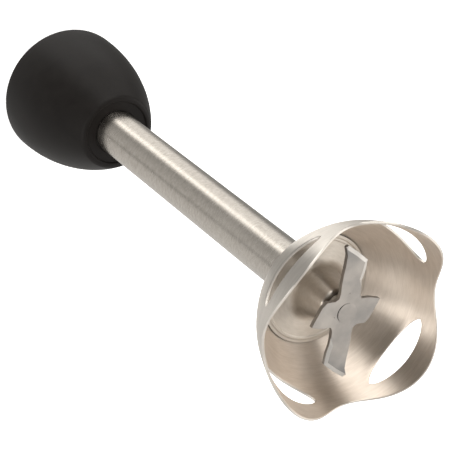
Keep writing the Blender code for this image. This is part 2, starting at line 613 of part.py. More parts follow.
def coupling_pin(parent):
    """Cross pin through the drive coupling and the shaft."""
    length = 2 * (DRIVE_RADIUS - PIN_INSET)
    pin = rod_mesh(PIN_RADIUS, length, COARSE, along="x")
    to_object("coupling_pin", pin, "shaft_steel", parent, PIN_HEIGHT)


def retaining_clip(parent):
    """Open ring that snaps into the shaft's groove and takes the pull of the blade."""
    outline = ring_outline(CLIP_RADIUS, CLIP_RADIUS + CLIP_WIDTH, CLIP_THICKNESS)
    bm = spun(outline, COARSE, angle=2 * math.pi - CLIP_OPENING)
    to_object("retaining_clip", bm, "shaft_steel", parent, CLIP_BASE)


def rotor_rings(parent):
    """Thrust washer against the upper bush, and the collar that the blade seats on."""
    bore = SHAFT_RADIUS + GAP
    washer = ring_outline(bore, bore + THRUST_WASHER_WIDTH, THRUST_WASHER_THICKNESS)
    turned("thrust_washer", washer, "natural_nylon", parent, WASHER_BASE, COARSE)
    collar = ring_outline(bore, bore + COLLAR_WALL, BLADE_BASE - GAP - COLLAR_BASE, GAP)
    turned("blade_collar", collar, "shaft_steel", parent, COLLAR_BASE, COARSE)


def blade(parent):
    """Stamped blade with two long arms and two short wings, held by the peened end of the shaft."""
    reach = bell_bore(BLADE_TOP) - BLADE_TIP_CLEARANCE
    half = [(reach * x, reach * y) for x, y in BLADE_OUTLINE]
    outline = half + [(-x, -y) for x, y in half]
    piece = to_object("blade", prism(outline, "xy", 0, BLADE_THICKNESS), "blade_steel", parent, BLADE_BASE)
    cut(piece, rod_mesh(SHAFT_RADIUS + GAP, BLADE_THICKNESS + 2 * GAP, COARSE), BLADE_BASE - GAP)


def build():
    """Models the whole foot."""
    clear_scene()
    foot = carrier_empty("foot_frame")
    for piece in (coupling_housing, tube_seal_ring, socket_liner, housing_screws, tube, upper_bearing_carrier,
                  bushes, shaft_guide, lower_bearing_carrier, bell, bell_floor, shaft_seal):
        piece(foot)
    rotor = carrier_empty("rotor_axis")
    for piece in (drive_shaft, drive_coupling, coupling_pin, retaining_clip, rotor_rings, blade):
        piece(rotor)


build()
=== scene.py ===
"""Looks of the detachable blending foot of a stick blender.

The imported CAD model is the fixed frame. Each visible sub-assembly is a class that holds its own sizes,
builds its fine meshes with Blender's edit tools and dresses them; each finish is a frozen dataclass that
makes one material. Lengths are in metres, heights count from the mouth of the coupling, and the shaft
turns about Z.
"""

import logging
import math
from collections.abc import Sequence
from dataclasses import dataclass
from enum import Enum
from functools import cache

import bmesh
import bpy
from mathutils import Matrix, Vector


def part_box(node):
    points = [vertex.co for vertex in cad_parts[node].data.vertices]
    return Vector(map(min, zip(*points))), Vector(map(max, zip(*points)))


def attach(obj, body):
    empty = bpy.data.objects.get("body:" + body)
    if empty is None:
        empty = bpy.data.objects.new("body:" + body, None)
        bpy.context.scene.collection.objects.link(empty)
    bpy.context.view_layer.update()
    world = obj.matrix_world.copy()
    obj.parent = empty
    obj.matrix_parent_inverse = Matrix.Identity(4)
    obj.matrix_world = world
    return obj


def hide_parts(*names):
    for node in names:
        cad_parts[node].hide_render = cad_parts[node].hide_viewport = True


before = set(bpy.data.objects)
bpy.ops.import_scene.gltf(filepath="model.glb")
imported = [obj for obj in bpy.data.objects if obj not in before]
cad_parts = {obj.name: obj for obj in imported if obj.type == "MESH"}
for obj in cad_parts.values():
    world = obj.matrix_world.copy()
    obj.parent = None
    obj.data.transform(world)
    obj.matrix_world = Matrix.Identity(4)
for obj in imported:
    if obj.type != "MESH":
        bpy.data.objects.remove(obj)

LOG = logging.getLogger("blending_foot")
MM = 0.001
MERGE = 1e-6  # metres; vertices closer than this are one
STRAIGHT = 1e-4  # radians; a bend smaller than this gets no fillet
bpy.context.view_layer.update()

Point = tuple[float, float]
Triple = tuple[float, float, float]
Piece = bpy.types.Object
Material = bpy.types.Material
Socket = bpy.types.NodeSocket


class Body(Enum):
    """The two CAD bodies that pieces ride on."""

    FOOT = "foot"
    ROTOR = "rotor"


class Slot(Enum):
    """The record's material slots, one passed along with each new piece."""

    SHELL = "soft_black_plastic"
    LINER = "liner_plastic"
    STEEL = "brushed_steel"
    BLADE = "blade_steel"
    SHAFT = "shaft_steel"
    NYLON = "natural_nylon"
    RUBBER = "black_rubber"


# ---------------------------------------------------------------- modelling tools
@dataclass(frozen=True)
class Corner:
    """A corner of a turned outline.

    Args:
        radius: distance from the axis.
        height: height above the coupling's mouth.
        fillet: radius of the rounding at this corner, 0 for none.
        steps: facets of the rounding.
    """

    radius: float
    height: float
    fillet: float = 0.0
    steps: int = 6

    def spot(self) -> Vector:
        """The corner as a flat vector."""
        return Vector((self.radius, self.height))


def rounded(corners: Sequence[Corner]) -> list[Point]:
    """Replaces each corner of a closed outline by its fillet.

    Args:
        corners: the outline's corners in order.

    Returns:
        The points of the outline, with every fillet as an arc.
    """
    points: list[Point] = []
    for index, corner in enumerate(corners):
        spot = corner.spot()
        before = (corners[index - 1].spot() - spot).normalized()
        after = (corners[(index + 1) % len(corners)].spot() - spot).normalized()
        bend = before.angle(after)
        if corner.fillet == 0 or bend > math.pi - STRAIGHT:
            points.append(tuple(spot))
            continue
        reach = corner.fillet / math.tan(bend / 2)
        centre = spot + (before + after).normalized() * corner.fillet / math.sin(bend / 2)
        start, end = spot + before * reach - centre, spot + after * reach - centre
        sweep = start.angle_signed(end)
        for step in range(corner.steps + 1):
            turn = Matrix.Rotation(-sweep * step / corner.steps, 2)
            points.append(tuple(centre + turn @ start))
    return points


def start_fresh() -> None:
    """Leaves edit mode and deselects everything, so that the next operator acts on new work."""
    if bpy.context.object and bpy.context.object.mode != "OBJECT":
        bpy.ops.object.mode_set(mode="OBJECT")
    bpy.ops.object.select_all(action="DESELECT")


def pick(piece: Piece) -> None:
    """Makes a piece the only selected object, and the active one."""
    start_fresh()
    piece.select_set(True)
    bpy.context.view_layer.objects.active = piece


def draw(name: str, path: Sequence[Vector]) -> Piece:
    """Draws a line of edges through a path, by extruding a single vertex along it.

    Args:
        name: the name of the piece.
        path: the points of the line.

    Returns:
        The piece, which stands at the origin, still in edit mode.
    """
    start_fresh()
    bpy.ops.mesh.primitive_plane_add(size=1 * MM)
    piece = bpy.context.object
    piece.name = piece.data.name = name
    bpy.ops.object.mode_set(mode="EDIT")
    bpy.ops.mesh.merge(type="CENTER")
    bpy.ops.transform.translate(value=path[0])
    for here, after in zip(path, path[1:]):
        bpy.ops.mesh.extrude_vertices_move(TRANSFORM_OT_translate={"value": after - here})
    return piece


def merge_doubles() -> None:
    """Selects everything in edit mode and merges vertices that share a place."""
    bpy.ops.mesh.select_all(action="SELECT")
    bpy.ops.mesh.remove_doubles(threshold=MERGE)


def close_up() -> None:
    """Merges doubles in edit mode, turns the faces outwards and goes back to object mode."""
    merge_doubles()
    bpy.ops.mesh.normals_make_consistent(inside=False)
    bpy.ops.object.mode_set(mode="OBJECT")


def smooth(piece: Piece, angle: float = 32.0) -> Piece:
    """Shades a piece smooth, except across edges sharper than an angle in degrees."""
    pick(piece)
    bpy.ops.object.shade_smooth_by_angle(angle=math.radians(angle))
    return piece


def turn_on_lathe(name: str, corners: Sequence[tuple], facets: int = 192) -> Piece:
    """Turns a closed outline once about the axis.

    Args:
        name: the name of the piece.
        corners: each corner's radius and height, and its fillet and steps where it is rounded.
        facets: the number of facets around.

    Returns:
        The finished piece, closed and smooth.
    """
    outline = rounded([Corner(*corner) for corner in corners])
    path = [Vector((radius, 0, height)) for radius, height in outline]
    draw(name, path + path[:1])
    bpy.ops.mesh.select_all(action="SELECT")
    bpy.ops.mesh.spin(steps=facets, angle=2 * math.pi, center=(0, 0, 0), axis=(0, 0, 1))
    close_up()
    return smooth(bpy.context.object)


def plate_from(name: str, outline: Sequence[Point], height: float) -> Piece:
    """Makes a flat face from an outline of (x, y) points, and stays in edit mode with it selected."""
    path = [Vector((x, y, height)) for x, y in outline]
    piece = draw(name, path + path[:1])
    merge_doubles()
    bpy.ops.mesh.select_all(action="SELECT")
    bpy.ops.mesh.edge_face_add()
    return piece


def thicken(by: float) -> None:
    """Extrudes the selected face straight up, in edit mode."""
    bpy.ops.mesh.extrude_region_move(TRANSFORM_OT_translate={"value": (0, 0, by)})


def apply_modifier(piece: Piece, kind: str, **settings: object) -> None:
    """Adds a modifier to a piece, sets it and applies it."""
    pick(piece)
    modifier = piece.modifiers.new(kind.lower(), kind)
    for name, value in settings.items():
        setattr(modifier, name, value)
    bpy.ops.object.modifier_apply(modifier=modifier.name)


def bevel(piece: Piece, width: float, angle: float, segments: int = 2) -> None:
    """Rounds a piece's edges that are sharper than an angle in degrees."""
    apply_modifier(piece, "BEVEL", width=width, segments=segments, limit_method="ANGLE",
                   angle_limit=math.radians(angle))


def cut_with(piece: Piece, cutter: Piece) -> None:
    """Cuts the cutter's shape out of a piece and removes the cutter."""
    apply_modifier(piece, "BOOLEAN", operation="DIFFERENCE", solver="EXACT", object=cutter)
    bpy.data.objects.remove(cutter, do_unlink=True)


def cut_shape(piece: Piece, shape: str, location: Sequence[float], **settings: object) -> None:
    """Cuts one of Blender's primitives out of a piece.

    Args:
        piece: the piece to cut.
        shape: the primitive's name, such as "cube".
        location: where its centre is.
        settings: its other sizes.
    """
    start_fresh()
    getattr(bpy.ops.mesh, f"primitive_{shape}_add")(location=location, **settings)
    cut_with(piece, bpy.context.object)


def place_mesh(piece: Piece) -> None:
    """Moves a piece's place and turn into its mesh, so that its object stands at the origin."""
    pick(piece)
    bpy.ops.object.transform_apply()


def polar(radius: float, turn: float) -> Point:
    """The (x, y) place at a distance and an angle about the axis."""
    return radius * math.cos(turn), radius * math.sin(turn)


def dress(mesh: bpy.types.Mesh, *materials: Material) -> None:
    """Gives a mesh these materials in place of what it had."""
    mesh.materials.clear()
    for material in materials:
        mesh.materials.append(material)


def settle(piece: Piece, body: Body, slot: Slot, material: Material,
           *nodes: str) -> None:
    """Dresses a finished piece and hands it to the frame.

    Args:
        piece: the finished object.
        body: the CAD body that it moves with.
        slot: the record's material slot; not used.
        material: its procedural material.
        nodes: the CAD nodes that it stands for.
    """
    dress(piece.data, material)
    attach(piece, body.value)
    if nodes:
        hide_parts(*nodes)
    LOG.info("%s: %d vertices, rides on %s", piece.name, len(piece.data.vertices), body.value)


# ---------------------------------------------------------------- shader tools
class Graph:
    """A thin wrapper round a node tree, to add and link nodes in one line each."""

    def __init__(self, tree: bpy.types.NodeTree) -> None:
        """Starts on an existing node tree."""
        self.tree = tree

    def add(self, kind: str, inputs: dict | None = None, **settings: object) -> bpy.types.Node:
        """Adds a node.

        Args:
            kind: the node's type name.
            inputs: values or output sockets by input name or index.
            settings: the node's own properties.

        Returns:
            The new node.
        """
        node = self.tree.nodes.new(kind)
        for name, value in settings.items():
            setattr(node, name, value)
        for key, value in (inputs or {}).items():
            self.feed(node.inputs[key], value)
        return node

    def feed(self, socket: Socket, value: object) -> None:
        """Links an output socket to an input, or sets the input's own value."""
        if isinstance(value, Socket):
            self.tree.links.new(value, socket)
        else:
            socket.default_value = value

    def math(self, operation: str, first: object, second: object = 0.0,
             clamp: bool = False) -> Socket:
        """A Math node's output."""
        node = self.add("ShaderNodeMath", {0: first, 1: second}, operation=operation, use_clamp=clamp)
        return node.outputs[0]

    def times(self, first: object, second: object) -> Socket:
        """The product of two values."""
        return self.math("MULTIPLY", first, second)

    def plus(self, first: object, second: object, clamp: bool = False) -> Socket:
        """The sum of two values, kept within 0 and 1 where clamp is set."""
        return self.math("ADD", first, second, clamp)

    def axes(self) -> tuple[Socket, ...]:
        """The x, y and z of a point on the piece, in metres."""
        spot = self.add("ShaderNodeTexCoord").outputs["Object"]
        return tuple(self.add("ShaderNodeSeparateXYZ", {0: spot}).outputs)

    def radius(self, x: object, y: object) -> Socket:
        """Distance from the axis."""
        return self.math("SQRT", self.plus(self.times(x, x), self.times(y, y)))

    def ramp(self, value: object, low: float, high: float, to_low: float = 0.0,
             to_high: float = 1.0) -> Socket:
        """A clamped Map Range from low..high to to_low..to_high."""
        node = self.add("ShaderNodeMapRange", {0: value, 1: low, 2: high, 3: to_low, 4: to_high})
        return node.outputs[0]

    def mix(self, share: object, first: object, second: object) -> Socket:
        """A colour mix of two colours or colour sockets."""
        node = self.add("ShaderNodeMix", data_type="RGBA")
        self.feed(node.inputs[0], share)
        self.feed(node.inputs[6], first)
        self.feed(node.inputs[7], second)
        return node.outputs[2]

    def noise(self, vector: object, scale: float, detail: float = 2.0, rough: float = 0.5,
              w: object | None = None) -> Socket:
        """A noise texture's value, in four dimensions where w is given."""
        inputs = {"Vector": vector, "Scale": scale, "Detail": detail, "Roughness": rough}
        if w is not None:
            inputs["W"] = w
        node = self.add("ShaderNodeTexNoise", noise_dimensions="4D" if w is not None else "3D")
        for key, value in inputs.items():
            self.feed(node.inputs[key], value)
        return node.outputs[0]


def new_group(name: str, inputs: dict[str, float],
              outputs: Sequence[str]) -> tuple[bpy.types.NodeTree, Graph]:
    """Starts a shader node group.

    Args:
        name: the group's name.
        inputs: number inputs and their defaults.
        outputs: names of the number outputs.

    Returns:
        The group's tree and a graph on it.
    """
    tree = bpy.data.node_groups.new(name, "ShaderNodeTree")
    for key, value in inputs.items():
        socket = tree.interface.new_socket(name=key, in_out="INPUT", socket_type="NodeSocketFloat")
        socket.default_value = value
    for key in outputs:
        tree.interface.new_socket(name=key, in_out="OUTPUT", socket_type="NodeSocketFloat")
    return tree, Graph(tree)


@cache
def turning_grain() -> bpy.types.NodeTree:
    """Fine streaks that run round the axis, as on steel brushed while it spins, over broader bands."""
    tree, graph = new_group("turning_grain", {"Fineness": 9000.0, "Run": 6.0, "Band": 900.0},
                            ["Streak", "Bands"])
    given = graph.add("NodeGroupInput").outputs
    x, y, z = graph.axes()
    radius = graph.radius(x, y)
    safe = graph.math("MAXIMUM", radius, 0.1 * MM)
    round_x, round_y = (graph.times(graph.math("DIVIDE", axis, safe), given["Run"]) for axis in (x, y))
    results = {}
    for key, pitch in (("Streak", "Fineness"), ("Bands", "Band")):
        depth = graph.times(z, given[pitch])
        along = graph.add("ShaderNodeCombineXYZ", {0: round_x, 1: round_y, 2: depth})
        results[key] = graph.noise(along.outputs[0], 1.0, 3.0, 0.6, w=graph.times(radius, given[pitch]))
    graph.add("NodeGroupOutput", results)
    return tree


@cache
def handling_marks() -> bpy.types.NodeTree:
    """Soft smudges and a few thin scratches, as masks from 0 to 1."""
    tree, graph = new_group("handling_marks", {"Smudge Scale": 60.0, "Scratch Scale": 220.0},
                            ["Smudge", "Scratch"])
    given = graph.add("NodeGroupInput").outputs
    spot = graph.add("ShaderNodeTexCoord").outputs["Object"]
    smudge = graph.noise(spot, given["Smudge Scale"], 4.0, 0.55)
    warp = graph.noise(spot, 90.0, 2.0, 0.5)
    bent = graph.add("ShaderNodeVectorMath", {0: spot, 1: (0.3, 1.0, 0.15)}, operation="MULTIPLY")
    pushed = graph.add("ShaderNodeVectorMath", {0: bent.outputs[0]}, operation="ADD")
    shift = graph.add("ShaderNodeCombineXYZ", {0: graph.times(warp, 1.5 * MM)})
    graph.feed(pushed.inputs[1], shift.outputs[0])
    cells = graph.add("ShaderNodeTexVoronoi", {"Vector": pushed.outputs[0],
                                               "Scale": given["Scratch Scale"]},
                      feature="DISTANCE_TO_EDGE")
    line = graph.ramp(cells.outputs["Distance"], 0.0, 0.02, 1.0, 0.0)
    gate = graph.ramp(graph.noise(spot, 150.0, 1.0), 0.56, 0.66)
    graph.add("NodeGroupOutput", {"Smudge": graph.ramp(smudge, 0.35, 0.7),
                                  "Scratch": graph.times(line, gate)})
    return tree


@cache
def skin_texture() -> bpy.types.NodeTree:
    """The very fine spark-eroded skin of a moulded part, and the soft mottling under it."""
    tree, graph = new_group("skin_texture", {"Grain": 2600.0, "Mottle": 120.0}, ["Height", "Mottling"])
    given = graph.add("NodeGroupInput").outputs
    spot = graph.add("ShaderNodeTexCoord").outputs["Object"]
    fine = graph.noise(spot, given["Grain"], 2.0, 0.6)
    broad = graph.noise(spot, given["Mottle"], 3.0, 0.5)
    graph.add("NodeGroupOutput", {"Height": fine, "Mottling": graph.ramp(broad, 0.35, 0.65)})
    return tree


def new_material(name: str) -> tuple[Material, Graph, bpy.types.Node]:
    """Starts a material and returns it, a graph on its nodes and its Principled shader."""
    material = bpy.data.materials.new(name)
    material.use_nodes = True
    return material, Graph(material.node_tree), material.node_tree.nodes["Principled BSDF"]


def coat(graph: Graph, shader: bpy.types.Node, **inputs: object) -> None:
    """Sets or links a shader's inputs, whose names have _ for a space."""
    for name, value in inputs.items():
        graph.feed(shader.inputs[name.replace("_", " ")], value)


@dataclass(frozen=True)
class BrushedSteel:
    """Satin stainless steel with a grain that runs round the axis.

    Args:
        name: the material's name.
        colour: colour of clean steel.
        shade: colour in the darker streaks.
        roughness: middle roughness.
        anisotropy: stretch of the highlights across the grain.
        fineness: streaks for each metre across the grain.
        run: how quickly a streak changes along the grain.
        relief: height of the grain.
        streak_share, band_share, smudge_share: what each adds to the colour.
    """

    name: str
    colour: Triple
    shade: Triple
    roughness: float
    anisotropy: float
    fineness: float = 7000.0
    run: float = 5.0
    relief: float = 0.01 * MM
    streak_share: float = 0.55
    band_share: float = 0.35
    smudge_share: float = 0.15

    def material(self) -> Material:
        """Makes the material."""
        material, graph, shader = new_material(self.name)
        grain = graph.add("ShaderNodeGroup", {"Fineness": self.fineness, "Run": self.run},
                          node_tree=turning_grain()).outputs
        smudge = graph.add("ShaderNodeGroup", node_tree=handling_marks()).outputs["Smudge"]
        streak = graph.ramp(grain["Streak"], 0.3, 0.7)
        bands = graph.ramp(grain["Bands"], 0.35, 0.65)
        share = graph.plus(graph.times(streak, self.streak_share), graph.times(bands, self.band_share))
        share = graph.plus(share, graph.times(smudge, self.smudge_share), clamp=True)
        rough = graph.ramp(graph.plus(streak, smudge), 0, 2, self.roughness - 0.05, self.roughness + 0.07)
        bump = graph.add("ShaderNodeBump", {"Height": streak, "Distance": self.relief, "Strength": 0.6})
        around = graph.add("ShaderNodeTangent", direction_type="RADIAL", axis="Z")
        coat(graph, shader, Base_Color=graph.mix(share, (*self.shade, 1), (*self.colour, 1)),
             Roughness=rough, Normal=bump.outputs[0], Tangent=around.outputs[0], Metallic=1.0,
             Anisotropic=self.anisotropy, Anisotropic_Rotation=0.25)
        return material


@dataclass(frozen=True)
class StampedSteel:
    """Tumbled, stamped or ground steel without a direction, with stains and small nicks, and optional
    painted shade on its far ends.

    Args:
        name: the material's name.
        colour: colour of clean steel.
        stain_and_tip_shade: colour of the stained patches and of the painted shade on the far ends.
        roughness: middle roughness.
        stain_share: how much the stains show, from 0 to 1.
        tip_painted_shade: how much painted shade darkens the far ends of the piece, for the darker
            reflection of tips that tilt away, from 0 to 1.
        relief: height of the surface's grain.
        tip_shade_band: distances from the axis where the far ends' painted shade starts and is full.
    """

    name: str
    colour: Triple
    stain_and_tip_shade: Triple
    roughness: float
    stain_share: float = 0.5
    tip_painted_shade: float = 0.0
    relief: float = 0.012 * MM
    tip_shade_band: Point = (13 * MM, 20 * MM)

    def material(self) -> Material:
        """Makes the material."""
        material, graph, shader = new_material(self.name)
        skin = graph.add("ShaderNodeGroup", {"Grain": 3200.0, "Mottle": 150.0},
                         node_tree=skin_texture()).outputs
        marks = graph.add("ShaderNodeGroup", {"Smudge Scale": 110.0}, node_tree=handling_marks()).outputs
        stain_and_shade = graph.times(marks["Smudge"], self.stain_share)
        stain_and_shade = graph.plus(stain_and_shade, graph.times(skin["Mottling"], 0.15), clamp=True)
        # painted shade: the far ends are pulled towards the darker second colour, standing in for the
        # darker reflection of blade tips that tilt away, not for dirt
        if self.tip_painted_shade:
            x, y, _ = graph.axes()
            tip = graph.times(graph.ramp(graph.radius(x, y), *self.tip_shade_band), self.tip_painted_shade)
            stain_and_shade = graph.plus(stain_and_shade, tip, clamp=True)
        rough = graph.ramp(skin["Mottling"], 0, 1, self.roughness - 0.06, self.roughness + 0.06)
        height = graph.math("SUBTRACT", skin["Height"], graph.times(marks["Scratch"], 1.5))
        bump = graph.add("ShaderNodeBump", {"Height": height, "Distance": self.relief, "Strength": 0.7})
        coat(graph, shader, Base_Color=graph.mix(stain_and_shade, (*self.colour, 1), (*self.stain_and_tip_shade, 1)),
             Roughness=rough, Normal=bump.outputs[0], Metallic=1.0)
        return material


@dataclass(frozen=True)
class MouldedPolymer:
    """Moulded plastic or rubber with a fine skin.

    Args:
        name: the material's name.
        colour: base colour.
        worn: colour of the slightly lighter mottling.
        roughness: middle roughness.
        grain: grains of the skin for each metre.
        relief: height of the skin.
        specular: strength of the mirror-like reflection.
    """

    name: str
    colour: Triple
    worn: Triple
    roughness: float
    grain: float = 2600.0
    relief: float = 0.02 * MM
    specular: float = 0.5

    def material(self) -> Material:
        """Makes the material."""
        material, graph, shader = new_material(self.name)
        skin = graph.add("ShaderNodeGroup", {"Grain": self.grain}, node_tree=skin_texture()).outputs
        marks = graph.add("ShaderNodeGroup", node_tree=handling_marks()).outputs
        share = graph.times(skin["Mottling"], 0.6)
        share = graph.plus(share, graph.times(marks["Scratch"], 0.3), clamp=True)
        rough = graph.ramp(marks["Smudge"], 0, 1, self.roughness - 0.05, self.roughness + 0.05)
        bump = graph.add("ShaderNodeBump", {"Height": skin["Height"], "Distance": self.relief,
                                            "Strength": 0.6})
        coat(graph, shader, Base_Color=graph.mix(share, (*self.colour, 1), (*self.worn, 1)),
             Roughness=rough, Normal=bump.outputs[0], Specular_IOR_Level=self.specular)
        return material


@dataclass(frozen=True)
class Wardrobe:
    """Every finish of the foot."""

    shell = MouldedPolymer("soft_black_shell", (0.0058, 0.0046, 0.004), (0.0105, 0.0088, 0.0078), 0.5,
                           specular=0.13)
    liner = MouldedPolymer("liner_black", (0.045, 0.045, 0.046), (0.06, 0.06, 0.06), 0.42, grain=1800.0)
    rubber = MouldedPolymer("seal_rubber", (0.012, 0.012, 0.012), (0.022, 0.022, 0.022), 0.7,
                            grain=1500.0)
    nylon = MouldedPolymer("moulded_nylon", (0.68, 0.66, 0.60), (0.60, 0.57, 0.50), 0.42, grain=1500.0)
    tube = BrushedSteel("tube_steel", (0.55, 0.515, 0.47), (0.37, 0.34, 0.30), 0.24, 0.6,
                        relief=0.02 * MM)
    bell = BrushedSteel("bell_steel", (0.62, 0.585, 0.54), (0.48, 0.45, 0.41), 0.38, 0.95)
    # painted bounce light: the inner side is a warmer, brighter copy of the bell's steel, for the light
    # thrown between the bell's inner walls
    bell_inside_painted_bounce = BrushedSteel("bell_inside_steel", (0.66, 0.59, 0.52), (0.50, 0.435, 0.37), 0.36, 0.95,
                               relief=0.014 * MM)
    floor = BrushedSteel("floor_steel", (0.60, 0.55, 0.49), (0.46, 0.415, 0.36), 0.34, 0.9)
    # painted shade darkens the blade's far ends, for the darker reflection of its tilted tips
    blade = StampedSteel("stamped_blade", (0.385, 0.355, 0.325), (0.215, 0.21, 0.205), 0.5, tip_painted_shade=0.4)
    ground = StampedSteel("ground_edge", (0.44, 0.42, 0.395), (0.38, 0.36, 0.335), 0.42, 0.2)
    shaft = StampedSteel("ground_shaft", (0.58, 0.56, 0.53), (0.46, 0.44, 0.41), 0.32, 0.3)
    bronze = StampedSteel("sintered_bronze", (0.50, 0.33, 0.17), (0.36, 0.23, 0.12), 0.5, 0.5)


# ---------------------------------------------------------------- sub-assemblies
@dataclass
class Coupling:
    """The black coupling: outer shell, socket liner, screws and the ring around the tube."""

    wall: float = 2.2 * MM
    lip_width: float = 6.3 * MM
    lip_fillet: float = 2.0 * MM
    lip_edge: float = 0.45 * MM
    rim_fillet: float = 0.6 * MM
    face_recess: float = 0.8 * MM
    face_radius: float = 13.0 * MM
    web: float = 10.4 * MM
    curve_power: float = 2.1
    flank_steps: int = 24
    tube_radius: float = 8.6 * MM
    tube_gap: float = 0.3 * MM
    socket_radius: float = 17.7 * MM
    screw_count: int = 3
    slot_width: float = 0.8 * MM
    screw_shank: float = 1.4 * MM
    screw_head: float = 1.7 * MM
    screw_turn: float = 0.7
    liner_wall: float = 1.8 * MM
    window: Triple = (9.0 * MM, 8.0 * MM, 13.0 * MM)

    def __post_init__(self) -> None:
        """Reads the shell's mouth and front from the frame."""
        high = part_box("coupling_housing")[1]
        self.mouth_radius = high.x
        self.front = high.z
        self.lip_radius = self.tube_radius + self.lip_width
        self.sunk = self.front - self.face_recess

    def flank(self, height: float) -> float:
        """Outside radius of the shell at a height."""
        narrowing = self.mouth_radius - self.lip_radius
        return self.mouth_radius - narrowing * (height / self.front) ** self.curve_power

    def shell(self) -> Piece:
        """Models the outer shell."""
        heights = [self.front * step / self.flank_steps for step in range(self.flank_steps + 1)]
        corners = [(self.flank(height), height) for height in heights]
        corners[0] += (self.rim_fillet,)
        corners[-1] += (self.lip_fillet, 10)
        bore = self.tube_radius + self.tube_gap
        back = self.front - self.web
        corners += [(self.face_radius, self.front, self.lip_edge, 5),
                    (self.face_radius - 0.3 * MM, self.sunk, 0.4 * MM, 4),
                    (bore, self.sunk, 0.35 * MM, 5), (bore, back)]
        inside = [back] + [height for height in reversed(heights) if height < back]
        corners += [(self.flank(height) - self.wall, height) for height in inside]
        corners[-1] += (self.rim_fillet,)
        return turn_on_lathe("coupling_shell", corners, 256)

    def liner(self) -> Piece:
        """Models the socket liner with its two latch windows."""
        low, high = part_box("socket_liner")
        flange = high.x
        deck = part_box("drive_coupling")[1].z + self.tube_gap
        wall = self.socket_radius + self.liner_wall
        flange_back = low.z + self.liner_wall
        deck_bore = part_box("upper_bush")[1].x + 1.3 * MM
        corners = [
            (self.socket_radius, low.z, 0.5 * MM), (flange, low.z, 0.3 * MM),
            (flange, flange_back, 0.3 * MM), (wall, flange_back), (wall, high.z),
            (deck_bore, high.z, 0.3 * MM), (deck_bore, deck, 0.3 * MM),
            (self.socket_radius, deck, 0.8 * MM)]
        liner = turn_on_lathe("socket_liner_fine", corners, 144)
        width, bottom, top = self.window
        for side in (-1, 1):
            middle = (0, side * (self.socket_radius + wall) / 2, (bottom + top) / 2)
            cut_shape(liner, "cube", middle, size=1, scale=(width, 4 * MM, top - bottom))
        bevel(liner, 0.15 * MM, 50)
        return smooth(liner)

    def screw(self, node: str) -> Piece:
        """Models one slotted screw in place of its node."""
        low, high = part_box(node)
        middle = (low + high) / 2
        head = (high.x - low.x) / 2
        shank = self.screw_shank
        head_top = low.z + self.screw_head
        corners = [
            (0, low.z), (head, low.z, 0.6 * MM), (head, head_top, 0.15 * MM),
            (shank, head_top), (shank, high.z - shank), (shank / 2, high.z), (0, high.z)]
        screw = turn_on_lathe(f"{node}_fine", corners, 48)
        cut_shape(screw, "cube", (0, 0, low.z), size=1,
                  scale=(3 * head, self.slot_width, self.screw_head))
        screw.rotation_euler.z = math.atan2(middle.y, middle.x) + self.screw_turn
        screw.location = (middle.x, middle.y, 0)
        place_mesh(screw)
        return smooth(screw)

    def seal_ring(self) -> Piece:
        """Models the rubber ring that closes the gap between shell and tube."""
        inner, outer = self.tube_radius + 0.02 * MM, self.tube_radius + self.tube_gap - 0.02 * MM
        back, front = self.sunk - 3 * MM, self.sunk - 0.7 * MM
        corners = [(inner, back), (outer, back),
                           (outer, front, 0.1 * MM, 3), (inner, front, 0.1 * MM, 3)]
        return turn_on_lathe("tube_gap_ring", corners)

    def build(self, wardrobe: Wardrobe) -> None:
        """Builds and dresses the coupling."""
        settle(self.shell(), Body.FOOT, Slot.SHELL, wardrobe.shell.material(), "coupling_housing")
        settle(self.liner(), Body.FOOT, Slot.LINER, wardrobe.liner.material(), "socket_liner")
        settle(self.seal_ring(), Body.FOOT, Slot.RUBBER, wardrobe.rubber.material())
        screw_finish = wardrobe.shaft.material()
        for index in range(self.screw_count):
            node = f"housing_screw_{index + 1}"
            settle(self.screw(node), Body.FOOT, Slot.SHAFT, screw_finish, node)


@dataclass
class Stem:
    """The steel tube and the weld that joins it to the bell."""

    radius: float = 8.6 * MM
    wall: float = 0.8 * MM
    bead: float = 0.5 * MM

    def tube(self) -> Piece:
        """Models the tube with its rolled flange."""
        low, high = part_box("tube")
        bore = self.radius - self.wall
        flange_top = low.z + self.wall
        corners = [
            (bore, low.z, 0.3 * MM, 3), (high.x, low.z), (high.x, flange_top),
            (self.radius, flange_top, 0.4 * MM, 3), (self.radius, high.z), (bore, high.z)]
        return turn_on_lathe("tube_body", corners, 256)

    def weld(self) -> Piece:
        """Models the small fillet where the bell is joined to the tube."""
        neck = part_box("bell")[0].z
        root = self.radius - 0.05 * MM
        start, end = neck - self.bead, neck + 1.1 * MM
        corners = [
            (root, start), (self.radius + 0.1 * MM, start, 0.05 * MM),
            (self.radius + 1.6 * self.bead, neck + 0.25 * MM, 0.1 * MM),
            (self.radius + self.bead, end), (root, end)]
        return turn_on_lathe("bell_weld", corners)

    def build(self, wardrobe: Wardrobe) -> None:
        """Builds and dresses the tube."""
        finish = wardrobe.tube.material()
        settle(self.tube(), Body.FOOT, Slot.STEEL, finish, "tube")
        settle(self.weld(), Body.FOOT, Slot.STEEL, finish)


